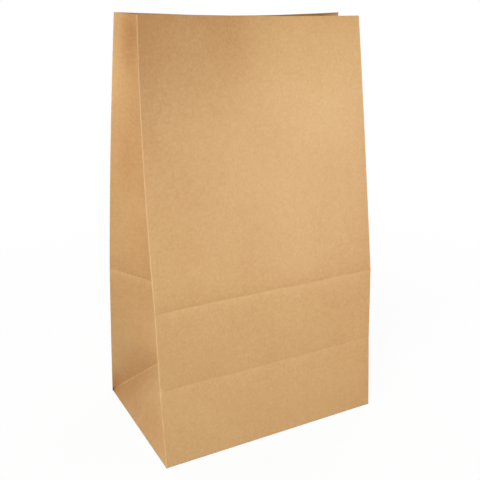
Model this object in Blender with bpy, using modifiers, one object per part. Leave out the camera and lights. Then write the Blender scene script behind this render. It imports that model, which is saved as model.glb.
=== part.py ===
"""A plain block-bottom paper bag, standing open: one folded and glued sheet of brown kraft paper.

The frame has its origin at the middle of the base, on the ground, with +Z up. The wide front panel
faces -Y and the gussets are at -X and +X. Every length is in metres. Each upright line of the bag is
worked out at its true paper length, so that the leaning, creased panels keep the size of the flat sheet.
"""

import math

import bmesh
import bpy
from mathutils import Vector

# The flat sheet
WIDTH = 0.217
DEPTH = 0.140
HEIGHT = 0.370
PAPER = 0.00012

# The glued base: how far each long flap reaches past the middle, and how far a fold sets a layer back
FLAP_PAST_MIDDLE = 0.010
FOLD_SETBACK = 0.0004

# The lap seam that closes the sheet into a tube, on the back panel
SEAM_LAP = 0.014
SEAM_FROM_MIDDLE = 0.052

# The folded-up base's edge presses the upper crease into the panels, this much short of the base's depth
CREASE_SHORT = 0.0012

# How far the front panel leans in over the base at the two creases, and the back panel at the upper one
FRONT_LEAN_LOWER = 0.0092
FRONT_LEAN_UPPER = 0.0155
BACK_LEAN_UPPER = 0.0135

# The mouth: its opening beside each gusset, and the share of the closing that the front panel makes
MOUTH_LEFT = 0.0558
MOUTH_RIGHT = 0.0306
FRONT_SHARE_LEFT = 0.452
FRONT_SHARE_RIGHT = 0.543
BACK_LEFT_PULL = 0.0022
LEFT_FOLD_CURL = 1.7

# How far the middle of each wide panel sags in at the mouth, and how late up the panel it starts
FRONT_SAG = 0.0070
BACK_SAG = 0.0118
SAG_POWER = 2.0

# How finely the curved panels are cut into flats
PANEL_COLUMNS = 8
ROWS_ABOVE_CREASE = 7

HALF_GUSSET = DEPTH / 2
LOWER_CREASE = HALF_GUSSET
UPPER_CREASE = DEPTH - CREASE_SHORT
FLAP = HALF_GUSSET + FLAP_PAST_MIDDLE

# The glued layers of the base, counted up from the ground in sheets of paper
OUTER_FLAP_LAYER = 0
INNER_FLAP_LAYER = 1
WALL_LAYER = 2
SIDE_FLAP_LAYER = 3
FLOOR = WALL_LAYER * PAPER

UPWARDS = Vector((0, 0, 4))

KRAFT = (0.638, 0.392, 0.181, 1.0)


def clear_scene():
    for item in list(bpy.data.objects):
        bpy.data.objects.remove(item)


def collection_named(name, hidden=False):
    found = bpy.data.collections.new(name)
    found.hide_render = hidden
    bpy.context.scene.collection.children.link(found)
    return found


def kraft_paper():
    material = bpy.data.materials.new("kraft_paper")
    material.use_nodes = True
    shader = material.node_tree.nodes["Principled BSDF"]
    shader.inputs["Base Color"].default_value = KRAFT
    shader.inputs["Roughness"].default_value = 0.82
    shader.inputs["Metallic"].default_value = 0.0
    material.diffuse_color = KRAFT
    return material


def blend(a, b, share):
    return a + (b - a) * share


def above_crease(up):
    """How far a paper height lies between the upper crease, 0, and the mouth, 1."""
    return max(0.0, (up - UPPER_CREASE) / (HEIGHT - UPPER_CREASE))


def front_lean(across, up):
    """How far in over the base the front panel is, at a share of its width and a paper height."""
    closing_left = (DEPTH - MOUTH_LEFT) * FRONT_SHARE_LEFT
    closing_right = (DEPTH - MOUTH_RIGHT) * FRONT_SHARE_RIGHT
    if up <= LOWER_CREASE:
        return FRONT_LEAN_LOWER * up / LOWER_CREASE
    if up <= UPPER_CREASE:
        share = (up - LOWER_CREASE) / (UPPER_CREASE - LOWER_CREASE)
        return blend(FRONT_LEAN_LOWER, FRONT_LEAN_UPPER, share)
    share = above_crease(up)
    left = blend(FRONT_LEAN_UPPER, closing_left, 1 - (1 - share) ** LEFT_FOLD_CURL)
    right = blend(FRONT_LEAN_UPPER, closing_right, share)
    sag = FRONT_SAG * math.sin(math.pi * across) * share**SAG_POWER
    return blend(left, right, across) + sag


def back_lean(across, up):
    """The same for the back panel, which has no lower crease."""
    closing_left = (DEPTH - MOUTH_LEFT) * (1 - FRONT_SHARE_LEFT)
    closing_right = (DEPTH - MOUTH_RIGHT) * (1 - FRONT_SHARE_RIGHT)
    if up <= UPPER_CREASE:
        return BACK_LEAN_UPPER * up / UPPER_CREASE
    share = above_crease(up)
    left = blend(BACK_LEAN_UPPER, closing_left, share)
    right = blend(BACK_LEAN_UPPER, closing_right, share)
    sag = BACK_SAG * math.sin(math.pi * across) * share**SAG_POWER
    return blend(left, right, across) + sag


def front_plan(across, up):
    return (across - 0.5) * WIDTH, front_lean(across, up) - DEPTH / 2


def back_plan(across, up):
    pull = BACK_LEFT_PULL * (1 - across) * above_crease(up) ** 2
    return (across - 0.5) * WIDTH + pull, DEPTH / 2 - back_lean(across, up)


def paper_rows():
    """The paper heights of the rows: the base, the two creases and equal steps from there to the mouth."""
    step = (HEIGHT - UPPER_CREASE) / ROWS_ABOVE_CREASE
    return [0.0, LOWER_CREASE] + [UPPER_CREASE + step * n for n in range(ROWS_ABOVE_CREASE + 1)]


def climb(plan, across, rows):
    """One upright line of a wide panel, lifted so that it keeps its paper length between rows."""
    points = [Vector((*plan(across, rows[0]), FLOOR))]
    for below, up in zip(rows, rows[1:]):
        x, y = plan(across, up)
        last = points[-1]
        rise = math.sqrt((up - below) ** 2 - (x - last.x) ** 2 - (y - last.y) ** 2)
        points.append(Vector((x, y, last.z + rise)))
    return points


def where_three_meet(first, second, third, reach, third_reach, towards):
    """The point at reach from two points and third_reach from another, on the side that towards names."""
    along = (second - first).normalized()
    half = (second - first).length / 2
    middle = (first + second) / 2
    ring = math.sqrt(reach**2 - half**2)
    offset = third - middle
    lift = offset.dot(along)
    flat = offset - along * lift
    span = flat.length
    ring_of_third = third_reach**2 - lift**2
    share = (ring**2 - ring_of_third + span**2) / (2 * span)
    side = along.cross(flat).normalized()
    if side.dot(towards) < 0:
        side = -side
    return middle + flat.normalized() * share + side * math.sqrt(ring**2 - share**2)


def gusset_fold(front, back, rows, inwards):
    """The gusset's centre fold, from the top of the base triangle to the mouth, and None on the base."""
    points = [None]
    last = (front[0] + back[0]) / 2
    for row in range(1, len(rows)):
        step = rows[row] - rows[row - 1]
        last = where_three_meet(front[row], back[row], last, HALF_GUSSET, step, inwards + UPWARDS)
        points.append(last)
    return points


class Sheet:
    """A mesh under construction, in which each corner point is used by every face that meets there."""

    def __init__(self):
        self.mesh = bmesh.new()

    def line(self, points):
        return [point and self.mesh.verts.new(point) for point in points]

    def face(self, *corners):
        self.mesh.faces.new(corners)

    def panel(self, lines):
        for left, right in zip(lines, lines[1:]):
            for row in range(len(left) - 1):
                self.face(left[row], right[row], right[row + 1], left[row + 1])

    def gusset(self, before, centre, after):
        """Two halves that meet at the centre fold, over the triangle between the two diagonal folds."""
        self.face(before[0], after[0], centre[1])
        self.face(before[0], centre[1], before[1])
        self.face(after[0], after[1], centre[1])
        for row in range(1, len(centre) - 1):
            self.face(before[row], centre[row], centre[row + 1], before[row + 1])
            self.face(centre[row], after[row], after[row + 1], centre[row + 1])

    def finish(self, name, material, collection):
        data = bpy.data.meshes.new(name)
        self.mesh.to_mesh(data)
        self.mesh.free()
        data.materials.append(material)
        made = bpy.data.objects.new(name, data)
        collection.objects.link(made)
        return made


def thicken(made, thickness, offset):
    shell = made.modifiers.new("paper", "SOLIDIFY")
    shell.thickness = thickness
    shell.offset = offset
    shell.use_even_offset = True
    return shell


def glue_on(made, piece):
    join = made.modifiers.new(piece.name, "BOOLEAN")
    join.operation = "UNION"
    join.object = piece
    piece.hide_render = True
    piece.display_type = "WIRE"


def folded_walls(material, collection):
    """The two wide panels, the two gussets and the floor, as one sheet of paper."""
    rows = paper_rows()
    shares = [column / PANEL_COLUMNS for column in range(PANEL_COLUMNS + 1)]
    front_points = [climb(front_plan, across, rows) for across in shares]
    back_points = [climb(back_plan, across, rows) for across in reversed(shares)]
    right_points = gusset_fold(front_points[-1], back_points[0], rows, Vector((-1, 0, 0)))
    left_points = gusset_fold(front_points[0], back_points[-1], rows, Vector((1, 0, 0)))
    sheet = Sheet()
    front = [sheet.line(points) for points in front_points]
    back = [sheet.line(points) for points in back_points]
    sheet.panel(front)
    sheet.gusset(front[-1], sheet.line(right_points), back[0])
    sheet.panel(back)
    sheet.gusset(back[-1], sheet.line(left_points), front[0])
    sheet.face(*(line[0] for line in reversed(front)), *(line[0] for line in reversed(back)))
    walls = sheet.finish("paper_bag", material, collection)
    thicken(walls, PAPER, -1.0)
    return walls


def flat_layer(name, outline, bottom, top, material, collection):
    """A flat layer of the base, between two levels counted in sheets of paper from the ground."""
    sheet = Sheet()
    sheet.face(*sheet.line([Vector((x, y, bottom * PAPER)) for x, y in outline]))
    layer = sheet.finish(name, material, collection)
    thicken(layer, (top - bottom) * PAPER, 1.0)
    return layer


def long_flap(side):
    """The outline of a long flap, cut at 45 degrees from the base's corners. Side is -1 in front, 1 behind."""
    half_width = WIDTH / 2 - FOLD_SETBACK
    half_depth = DEPTH / 2 - FOLD_SETBACK
    reach = FLAP - FOLD_SETBACK
    points = [
        (-half_width, side * half_depth),
        (half_width, side * half_depth),
        (half_width - reach, side * (half_depth - reach)),
        (reach - half_width, side * (half_depth - reach)),
    ]
    return points if side < 0 else points[::-1]


def side_flap(side):
    """The outline of a side flap, on the floor inside the bag. Side is -1 at the left, 1 at the right."""
    outer = WIDTH / 2 - 2 * FOLD_SETBACK
    inner = WIDTH / 2 - FLAP
    half_depth = DEPTH / 2 - 2 * FOLD_SETBACK
    low, high = sorted((side * inner, side * outer))
    return [(low, -half_depth), (high, -half_depth), (high, half_depth), (low, half_depth)]


def lap_seam(material, collection):
    """The second layer of paper where the sheet's two long edges lap, from the base to the mouth."""
    rows = paper_rows()
    middle = 0.5 + SEAM_FROM_MIDDLE / WIDTH
    edges = [middle + SEAM_LAP / 2 / WIDTH, middle - SEAM_LAP / 2 / WIDTH]
    sheet = Sheet()
    lines = []
    for across in edges:
        points = climb(back_plan, across, rows)
        points[0] += (points[1] - points[0]).normalized() * FOLD_SETBACK
        points[-1] -= (points[-1] - points[-2]).normalized() * FOLD_SETBACK
        lines.append(sheet.line(points))
    sheet.panel(lines)
    lap = sheet.finish("lap_seam", material, collection)
    thicken(lap, 1.6 * PAPER, 0.0)
    return lap


def main():
    clear_scene()
    material = kraft_paper()
    bag = collection_named("paper_bag")
    layers = collection_named("glued_layers", hidden=True)
    walls = folded_walls(material, bag)
    inside_floor = WALL_LAYER + 0.5
    for name, outline, bottom, top in (
        ("inner_flap", long_flap(-1), INNER_FLAP_LAYER, inside_floor),
        ("outer_flap", long_flap(1), OUTER_FLAP_LAYER, inside_floor),
        ("left_side_flap", side_flap(-1), inside_floor, SIDE_FLAP_LAYER + 1),
        ("right_side_flap", side_flap(1), inside_floor, SIDE_FLAP_LAYER + 1),
    ):
        glue_on(walls, flat_layer(name, outline, bottom, top, material, layers))
    glue_on(walls, lap_seam(material, layers))


main()
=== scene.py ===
"""The looks of a plain block-bottom paper bag: one folded and glued sheet of brown kraft paper.

The sheet is laid out in its own flat measures, across and up the paper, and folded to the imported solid's
shape, so each fold, crease and worn line of the finish knows where on the paper it lies. Lengths are in
metres.
"""

import logging
import math
from collections.abc import Callable
from dataclasses import dataclass
from enum import Enum

import bpy
from mathutils import Matrix, Vector, noise


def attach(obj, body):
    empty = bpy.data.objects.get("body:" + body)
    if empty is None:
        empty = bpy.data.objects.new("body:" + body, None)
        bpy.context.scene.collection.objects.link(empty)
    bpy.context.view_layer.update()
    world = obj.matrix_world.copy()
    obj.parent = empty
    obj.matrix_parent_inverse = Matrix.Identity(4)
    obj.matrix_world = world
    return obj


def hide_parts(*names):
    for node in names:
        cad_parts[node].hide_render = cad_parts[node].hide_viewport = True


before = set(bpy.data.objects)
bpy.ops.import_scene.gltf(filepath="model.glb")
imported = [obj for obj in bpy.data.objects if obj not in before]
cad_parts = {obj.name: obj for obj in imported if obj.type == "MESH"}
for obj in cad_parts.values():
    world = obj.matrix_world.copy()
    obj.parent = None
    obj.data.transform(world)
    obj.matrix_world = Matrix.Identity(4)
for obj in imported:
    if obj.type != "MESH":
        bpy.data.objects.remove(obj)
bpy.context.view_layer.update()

LOG = logging.getLogger("paper_bag")

Colour = tuple[float, float, float, float]

# The direction that picks the upper one of two points
UPWARDS = Vector((0.0, 0.0, 4.0))
# How far two places that count as the same may lie apart
SAME = 1e-9
# The distance of a point that is nowhere near a fold
FAR = 1.0
# The tone of plain paper, between the palest, 0, and the deepest, 1
MIDDLE_TONE = 0.4
# The distances from folds, creases and edges that the finish reads at each point
GAPS = (
    "fold_gap",
    "upper_gap",
    "lower_gap",
    "base_gap",
    "diagonal_gap",
    "corner_gap",
    "pocket_gap",
    "mouth_gap",
    "lip_gap",
)


class Panel(Enum):
    """The panels of the sheet, in their order across the paper."""

    BACK_START = 0
    LEFT_BACK_HALF = 1
    LEFT_FRONT_HALF = 2
    FRONT = 3
    RIGHT_FRONT_HALF = 4
    RIGHT_BACK_HALF = 5
    BACK_END = 6


BACK_PANELS = (Panel.BACK_START, Panel.BACK_END)
FRONT_HALVES = (Panel.LEFT_FRONT_HALF, Panel.RIGHT_FRONT_HALF)
GUSSET_HALVES = FRONT_HALVES + (Panel.LEFT_BACK_HALF, Panel.RIGHT_BACK_HALF)


def blend(a: float, b: float, share: float) -> float:
    """Returns the value that lies at a share of the way from a to b."""
    return a + (b - a) * share


def smooth(share: float) -> float:
    """Returns a share eased in and out, and held from 0 to 1."""
    held = min(1.0, max(0.0, share))
    return held * held * (3.0 - 2.0 * held)


def settle(gap: float, reach: float) -> float:
    """Returns 0 at a fold, and nearly 1 well past the reach from it."""
    return 1.0 - math.exp(-max(0.0, gap) / reach)


def arc(start: Vector, corner: Vector, end: Vector, share: float) -> Vector:
    """Returns the point at a share of the way round a corner that is rounded off from start to end."""
    return start.lerp(corner, share).lerp(corner.lerp(end, share), share)


def direction(turn: float, rise: float) -> Vector:
    """Works out a direction from two angles, in degrees.

    Args:
        turn: How far it points to the right of +Y.
        rise: How far above level it points.

    Returns:
        The direction, of length 1.
    """
    turned, raised = math.radians(turn), math.radians(rise)
    level = Vector((math.sin(turned), math.cos(turned), 0.0))
    return level * math.cos(raised) + Vector((0.0, 0.0, math.sin(raised)))


@dataclass(frozen=True)
class Waver:
    """An uneven change over the paper: its strength, how often it turns each way and its layer of noise."""

    strength: float
    across: float
    up: float
    layer: float

    def at(self, across: float, up: float) -> float:
        """Returns the change at a place on the paper."""
        return self.strength * noise.noise(Vector((across * self.across, up * self.up, self.layer)))


@dataclass(frozen=True)
class FoldedShape:
    """The sheet's folded sizes and how far its walls lean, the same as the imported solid's."""

    width: float = 0.217
    depth: float = 0.140
    height: float = 0.370
    paper: float = 0.00012
    flap_past_middle: float = 0.010
    setback: float = 0.0004
    seam_lap: float = 0.014
    seam_from_middle: float = 0.052
    crease_short: float = 0.0012
    front_lean_lower: float = 0.0092
    front_lean_upper: float = 0.0155
    back_lean_upper: float = 0.0135
    mouth_left: float = 0.0558
    mouth_right: float = 0.0306
    front_share_left: float = 0.452
    front_share_right: float = 0.543
    back_left_pull: float = 0.0022
    left_fold_curl: float = 1.7
    front_sag: float = 0.0070
    back_sag: float = 0.0118
    sag_power: float = 2.0
    rows_above_crease: int = 7

    @property
    def half_gusset(self) -> float:
        """Half the width of a gusset, which is also the height of the lower crease."""
        return self.depth / 2

    @property
    def upper_crease(self) -> float:
        """The paper height of the upper crease."""
        return self.depth - self.crease_short

    @property
    def flap(self) -> float:
        """How far each base flap reaches in from the base's edge."""
        return self.half_gusset + self.flap_past_middle

    @property
    def side_setback(self) -> float:
        """How much shorter a side flap is at each end than the base's edge."""
        return 3 * self.setback

    @property
    def floor(self) -> float:
        """The level of the walls' lower edge: two glued layers lie under it."""
        return 2 * self.paper

    def above_crease(self, up: float) -> float:
        """Returns how far a paper height lies from the upper crease, 0, to the mouth, 1."""
        return max(0.0, (up - self.upper_crease) / (self.height - self.upper_crease))

    def front_lean(self, across: float, up: float) -> float:
        """Says how far in over the base the front panel is.

        Args:
            across: The share of the panel's width, from the left fold.
            up: The paper height.

        Returns:
            The lean.
        """
        closing_left = (self.depth - self.mouth_left) * self.front_share_left
        closing_right = (self.depth - self.mouth_right) * self.front_share_right
        lower = self.half_gusset
        if up <= lower:
            return self.front_lean_lower * up / lower
        if up <= self.upper_crease:
            share = (up - lower) / (self.upper_crease - lower)
            return blend(self.front_lean_lower, self.front_lean_upper, share)
        share = self.above_crease(up)
        left = blend(self.front_lean_upper, closing_left, 1 - (1 - share) ** self.left_fold_curl)
        right = blend(self.front_lean_upper, closing_right, share)
        sag = self.front_sag * math.sin(math.pi * across) * share**self.sag_power
        return blend(left, right, across) + sag

    def back_lean(self, across: float, up: float) -> float:
        """Says how far in over the base the back panel is.

        Args:
            across: The share of the panel's width, from the left fold.
            up: The paper height.

        Returns:
            The lean.
        """
        closing_left = (self.depth - self.mouth_left) * (1 - self.front_share_left)
        closing_right = (self.depth - self.mouth_right) * (1 - self.front_share_right)
        if up <= self.upper_crease:
            return self.back_lean_upper * up / self.upper_crease
        share = self.above_crease(up)
        left = blend(self.back_lean_upper, closing_left, share)
        right = blend(self.back_lean_upper, closing_right, share)
        sag = self.back_sag * math.sin(math.pi * across) * share**self.sag_power
        return blend(left, right, across) + sag

    def front_plan(self, across: float, up: float) -> tuple[float, float]:
        """Returns the x and y of a point of the front panel."""
        return (across - 0.5) * self.width, self.front_lean(across, up) - self.depth / 2

    def back_plan(self, across: float, up: float) -> tuple[float, float]:
        """Returns the x and y of a point of the back panel."""
        pull = self.back_left_pull * (1 - across) * self.above_crease(up) ** 2
        return (across - 0.5) * self.width + pull, self.depth / 2 - self.back_lean(across, up)

    def climb(
        self, plan: Callable[[float, float], tuple[float, float]], across: float, rows: list[float]
    ) -> list[Vector]:
        """Follows one upright line of a wide panel, and keeps its paper length from row to row.

        Args:
            plan: The panel's front_plan or back_plan.
            across: The share of the panel's width.
            rows: Paper heights, from the base up.

        Returns:
            One point for each row.
        """
        points = [Vector((*plan(across, rows[0]), self.floor))]
        for below, up in zip(rows, rows[1:]):
            x, y = plan(across, up)
            last = points[-1]
            rise = math.sqrt((up - below) ** 2 - (x - last.x) ** 2 - (y - last.y) ** 2)
            points.append(Vector((x, y, last.z + rise)))
        return points

    def solid_rows(self) -> list[float]:
        """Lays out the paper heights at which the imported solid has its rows.

        Returns:
            The heights, from the base up.
        """
        step = (self.height - self.upper_crease) / self.rows_above_crease
        above = [self.upper_crease + step * n for n in range(self.rows_above_crease + 1)]
        return [0.0, self.half_gusset] + above

    def centre_fold(self, across: float, inwards: Vector) -> list[Vector]:
        """Works out a gusset's centre fold, where both halves keep their width.

        Args:
            across: The share of the wide panels' width at this gusset, 0 or 1.
            inwards: The direction into the bag.

        Returns:
            The fold's points at the solid's rows. The first is the middle of the base's edge.
        """
        rows = self.solid_rows()
        front = self.climb(self.front_plan, across, rows)
        back = self.climb(self.back_plan, across, rows)
        points = [(front[0] + back[0]) / 2]
        for row in range(1, len(rows)):
            step = rows[row] - rows[row - 1]
            points.append(
                where_three_meet(
                    front[row], back[row], points[-1], self.half_gusset, step, inwards + UPWARDS
                )
            )
        return points


def where_three_meet(
    first: Vector, second: Vector, third: Vector, reach: float, third_reach: float, towards: Vector
) -> Vector:
    """Finds the point that three lengths of paper reach.

    Args:
        first: One end point.
        second: Another, at the same reach.
        third: The last one.
        reach: The length to the first and the second.
        third_reach: The length to the third.
        towards: Which of the two answers is wanted.

    Returns:
        The point.
    """
    along = (second - first).normalized()
    half = (second - first).length / 2
    middle = (first + second) / 2
    ring = math.sqrt(reach**2 - half**2)
    offset = third - middle
    lift = offset.dot(along)
    flat = offset - along * lift
    span = flat.length
    share = (ring**2 - (third_reach**2 - lift**2) + span**2) / (2 * span)
    side = along.cross(flat).normalized()
    if side.dot(towards) < 0:
        side = -side
    return middle + flat.normalized() * share + side * math.sqrt(ring**2 - share**2)


def curve_through(heights: list[float], points: list[Vector], at: float) -> Vector:
    """Follows a smooth curve through points.

    Args:
        heights: The paper height of each point, rising.
        points: The points.
        at: The paper height that is wanted.

    Returns:
        The point of the curve at that height.
    """
    last = len(heights) - 1
    index = next((n for n in range(last) if at <= heights[n + 1]), last - 1)
    span = heights[index + 1] - heights[index]

    def slope(n: int) -> Vector:
        """Returns the curve's direction at a point."""
        low, high = max(0, n - 1), min(last, n + 1)
        return (points[high] - points[low]) / (heights[high] - heights[low])

    t = (at - heights[index]) / span
    start, end = points[index], points[index + 1]
    return (
        start * (2 * t**3 - 3 * t**2 + 1)
        + slope(index) * span * (t**3 - 2 * t**2 + t)
        + end * (3 * t**2 - 2 * t**3)
        + slope(index + 1) * span * (t**3 - t**2)
    )


@dataclass(frozen=True)
class Dent:
    """A soft hollow or, with a negative depth, a soft swelling in a panel.

    Across and up are its middle, as a share of the panel's width and as a paper height. Wide and tall
    are its reach to each side, and turn tips it over to the left, in degrees. The same form serves for a
    patch of painted shade, where depth is how much deeper the paper's colour is painted; a negative depth
    paints light.
    """

    across: float
    up: float
    wide: float
    tall: float
    depth: float
    turn: float = 0.0

    def at(self, aside: float, up: float) -> float:
        """Works out the depth at a point.

        Args:
            aside: The point's distance to the right of the middle.
            up: The point's paper height.

        Returns:
            The depth.
        """
        rise = up - self.up
        angle = math.radians(self.turn)
        along = (aside * math.cos(angle) + rise * math.sin(angle)) / self.wide
        upright = (rise * math.cos(angle) - aside * math.sin(angle)) / self.tall
        return self.depth * math.exp(-(along**2) - upright**2)


def depth_of(dents: tuple[Dent, ...], share: float, width: float, up: float) -> float:
    """Returns what a panel's dents, or its patches of painted light and shade, add up to at one point."""
    return sum(dent.at((share - dent.across) * width, up) for dent in dents)


@dataclass(frozen=True)
class Column:
    """One upright line of the sheet: its place across the paper, its panel and its share of it.

    The gap is the distance to the nearest fold of a wide panel, and aside is the same for a line on a
    gusset, and 0 on a wide panel. The lift says how far the line lies outside the other layer at the lap
    seam.
    """

    at: float
    panel: Panel
    share: float
    gap: float
    aside: float = 0.0
    lift: float = 0.0


@dataclass(frozen=True)
class Emboss:
    """The groove that a pressed edge leaves along a paper height: its depth and its reach.

    Margin is how far from an upright fold it has its whole depth, and fade how much of it is lost towards
    the panel's right side. Drift bends the groove a little, and patchy makes it uneven.
    """

    up: float
    depth: float
    above: float
    below: float
    margin: float = 0.004
    fade: float = 0.0
    drift: Waver = Waver(0.0006, 38.0, 70.0, 1.3)
    patchy: Waver = Waver(0.35, 55.0, 31.0, 7.7)

    def at(self, column: Column, place: Vector, up: float) -> float:
        """Works out the groove's depth.

        Args:
            column: The upright line.
            place: The point in the panel's own measures, which the groove's unevenness follows.
            up: The paper height.

        Returns:
            The depth.
        """
        gap = up - self.up - self.drift.at(place.x, self.up)
        reach = self.above if gap > 0 else self.below
        strength = (1.0 - self.fade * column.share) * smooth(column.gap / self.margin)
        strength *= 1.0 + self.patchy.at(place.x, self.up)
        return self.depth * strength * math.exp(-abs(gap) / reach)


@dataclass(frozen=True)
class PaintedCreaseShade:
    """The band of painted shade just above a pressed crease and the band of painted light just under it."""

    up: float
    dark: float
    above: float
    pale: float
    below: float
    fade: float = 0.0
    drift: Waver = Waver(0.0006, 8.0, 70.0, 1.3)
    patchy: Waver = Waver(0.3, 11.0, 31.0, 3.1)

    def at(self, across: float, up: float) -> float:
        """Works out how much darker the paper is painted, as shade above the crease and light under it.

        Args:
            across: The share of the panel's width.
            up: The paper height.

        Returns:
            The tone to add, below 0 where painted light makes the paper paler.
        """
        gap = up - self.up - self.drift.at(across, self.up)
        strength = (1.0 - self.fade * across) * (1.0 + self.patchy.at(across, self.up))
        if gap > 0:
            return strength * self.dark * math.exp(-gap / self.above)
        return -strength * self.pale * (1.0 - smooth(-gap / self.below))


@dataclass(frozen=True)
class FoldedSheet:
    """How the bag's one sheet is divided into rows and columns, and how round its folds are.

    Clear values say where the even rows and columns begin beside a fold, and lip is the last row under the
    mouth. Lap values are for the seam: its columns, how far the others stay clear of it, and how far and how
    soon the outer layer lifts, in thicknesses of the paper. Flap values say how soon a flap lies flat, and
    how it waves a little over the floor. Corner columns are those over which a base fold's rounding fades
    out at its ends.
    """

    shape: FoldedShape = FoldedShape()
    fold_radius: float = 0.0009
    base_radius: float = 0.0008
    fold_clear: float = 0.0030
    base_clear: float = 0.0020
    lip: float = 0.0012
    panel_step: float = 0.0040
    gusset_step: float = 0.0029
    upper_step: float = 0.0040
    flap_step: float = 0.0060
    crease_steps: tuple[float, ...] = (0.0006, 0.0013, 0.0022, 0.0034, 0.0052)
    lap_steps: int = 5
    lap_clear_inside: float = 0.0010
    lap_clear_outside: float = 0.0020
    lap_foot: float = 0.0008
    lap_ease: float = 0.0022
    lap_lift: float = 1.25
    lap_cover: float = 0.0020
    flap_settle: float = 0.0025
    flap_wave: float = 0.00003
    flap_turns: float = 60.0
    flap_wave_from: float = 0.010
    corner_columns: int = 4

    def spread(self, start: float, end: float, step: float) -> list[float]:
        """Returns the places that divide a length evenly, with its start and without its end."""
        count = max(1, math.ceil((end - start) / step - SAME))
        return [start + (end - start) * n / count for n in range(count)]

    def rows(self) -> list[float]:
        """Lays out the paper heights, closer together beside the base, the creases and the mouth.

        Returns:
            The heights, from the base up.
        """
        lower, upper, top = self.shape.half_gusset, self.shape.upper_crease, self.shape.height
        near = self.crease_steps
        found = [0.0, self.base_radius / 2, self.base_radius]
        found += self.spread(self.base_clear, lower - near[-1], self.gusset_step)
        for crease, end, step in (
            (lower, upper - near[-1], self.gusset_step),
            (upper, top - self.lip, self.upper_step),
        ):
            found += [crease - gap for gap in reversed(near)] + [crease]
            found += [crease + gap for gap in near[:-1]]
            found += self.spread(crease + near[-1], end, step)
        return found + [top - self.lip, top]

    def across(self, width: float) -> list[float]:
        """Lays out the places across a wide panel, closer together beside its folds.

        Args:
            width: The panel's width.

        Returns:
            The places, from one fold to the other.
        """
        radius = self.fold_radius
        edge = [0.0, radius / 2, radius, 2 * radius]
        end = width - self.fold_clear
        middle = self.spread(self.fold_clear, end, self.panel_step) + [end]
        return edge + middle + [width - place for place in reversed(edge)]

    def gusset_places(self) -> list[float]:
        """Returns the places across half a gusset. They match the rows, so the diagonals meet them."""
        return [row for row in self.rows() if row <= self.shape.half_gusset + SAME]

    def columns(self) -> list[Column]:
        """Lays out every upright line, from the inner edge of the lap seam round to its outer edge.

        Returns:
            The columns, in their order across the paper.
        """
        shape = self.shape
        width, depth, half = shape.width, shape.depth, shape.half_gusset
        seam = shape.width / 2 - shape.seam_from_middle
        lap = [seam + shape.seam_lap * (n / self.lap_steps - 0.5) for n in range(self.lap_steps + 1)]
        wide = self.across(width)
        inner = lap + [place for place in wide if place > lap[-1] + self.lap_clear_inside]
        outer = [place for place in wide if place < lap[0] - self.lap_clear_outside]
        outer += [lap[0] - self.lap_foot] + lap
        towards_centre = self.gusset_places()[:-1]
        from_centre = list(reversed(self.gusset_places()[1:]))
        made = []
        for place in inner[:-1]:
            gap = width - place
            made.append(Column(-depth - gap, Panel.BACK_START, 1 - place / width, gap))
        for panel, start, way, places in (
            (Panel.LEFT_BACK_HALF, -depth, 1, towards_centre),
            (Panel.LEFT_FRONT_HALF, 0.0, -1, from_centre),
            (Panel.FRONT, 0.0, 1, wide[:-1]),
            (Panel.RIGHT_FRONT_HALF, width, 1, towards_centre),
            (Panel.RIGHT_BACK_HALF, width + depth, -1, from_centre),
        ):
            for place in places:
                if panel is Panel.FRONT:
                    made.append(Column(place, panel, place / width, min(place, width - place)))
                else:
                    made.append(Column(start + way * place, panel, place / half, place, place))
        for place in outer:
            lift = shape.paper * self.lap_lift * smooth((place - lap[0] + self.lap_ease) / self.lap_ease)
            made.append(Column(width + depth + place, Panel.BACK_END, 1 - place / width, place, 0.0, lift))
        return made


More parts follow.
